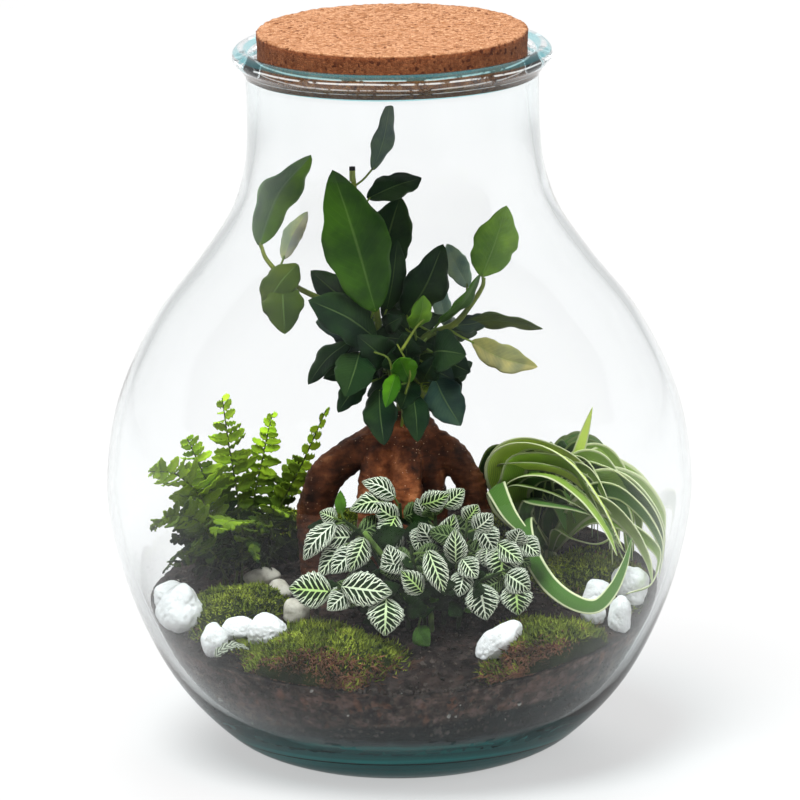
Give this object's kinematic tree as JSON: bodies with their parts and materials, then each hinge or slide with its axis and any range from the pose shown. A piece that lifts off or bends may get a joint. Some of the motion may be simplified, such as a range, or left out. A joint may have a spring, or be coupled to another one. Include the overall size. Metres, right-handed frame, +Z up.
{
  "type": "closed glass plant terrarium",
  "caption": "Closed glass terrarium: pear-shaped jar with a cork in its neck, planted with a small ficus, fern, nerve plant and spider plant among moss and pebbles.",
  "frame": {"origin": "centre of the flat ring that the jar stands on, at the height of the table", "axes": "+Z up along the jar's axis to the cork, -Y towards the front where the soil is lowest, +X to the right as seen from the front"},
  "size_m": [0.2816, 0.2816, 0.353],
  "materials": {
    "glass": "clear recycled glass with a faint teal tint, polished",
    "cork": "pressed cork grains, matte",
    "gravel": "dark drainage gravel, matte",
    "soil": "moist potting soil, matte",
    "moss": "cushion moss, matte",
    "white_stone": "chalky white marble",
    "grey_stone": "smooth beige-grey pebble",
    "bark": "red-brown root bark",
    "ficus_leaf": "glossy dark green leaf",
    "fern_leaf": "fresh green leaf, satin",
    "nerve_leaf": "dark green leaf with a net of white veins, satin",
    "spider_leaf": "green leaf with cream margins, satin",
    "dry_leaf": "dried striped leaf, matte"
  },
  "bodies": {
    "root": {"glass_jar": "glass", "cork_stopper": "cork", "drainage_gravel": "gravel", "soil": "soil", "moss_left": "moss", "moss_front_left": "moss", "moss_front_right": "moss", "moss_right": "moss", "moss_back_left": "moss", "moss_back_right": "moss", "white_stone_1": "white_stone", "white_stone_2": "white_stone", "white_stone_3": "white_stone", "white_stone_4": "white_stone", "white_stone_5": "white_stone", "white_stone_6": "white_stone", "white_stone_7": "white_stone", "white_stone_8": "white_stone", "white_stone_9": "white_stone", "white_stone_10": "white_stone", "grey_stone_1": "grey_stone", "grey_stone_2": "grey_stone", "grey_stone_3": "grey_stone", "speckled_stone": "grey_stone", "ficus_trunk": "bark", "ficus_shoot_left": "ficus_leaf", "ficus_shoot_right": "ficus_leaf", "ficus_shoot_front": "ficus_leaf", "fern_frond_01": "fern_leaf", "fern_frond_02": "fern_leaf", "fern_frond_03": "fern_leaf", "fern_frond_04": "fern_leaf", "fern_frond_05": "fern_leaf", "fern_frond_06": "fern_leaf", "fern_frond_07": "fern_leaf", "fern_frond_08": "fern_leaf", "fern_frond_09": "fern_leaf", "fern_frond_10": "fern_leaf", "fern_frond_11": "fern_leaf", "fern_frond_12": "fern_leaf", "nerve_spray_01": "nerve_leaf", "nerve_spray_02": "nerve_leaf", "nerve_spray_03": "nerve_leaf", "nerve_spray_04": "nerve_leaf", "nerve_spray_05": "nerve_leaf", "nerve_spray_06": "nerve_leaf", "nerve_spray_07": "nerve_leaf", "nerve_spray_08": "nerve_leaf", "spider_plant": "spider_leaf", "fallen_leaf": "dry_leaf"}
  },
  "joints": []
}
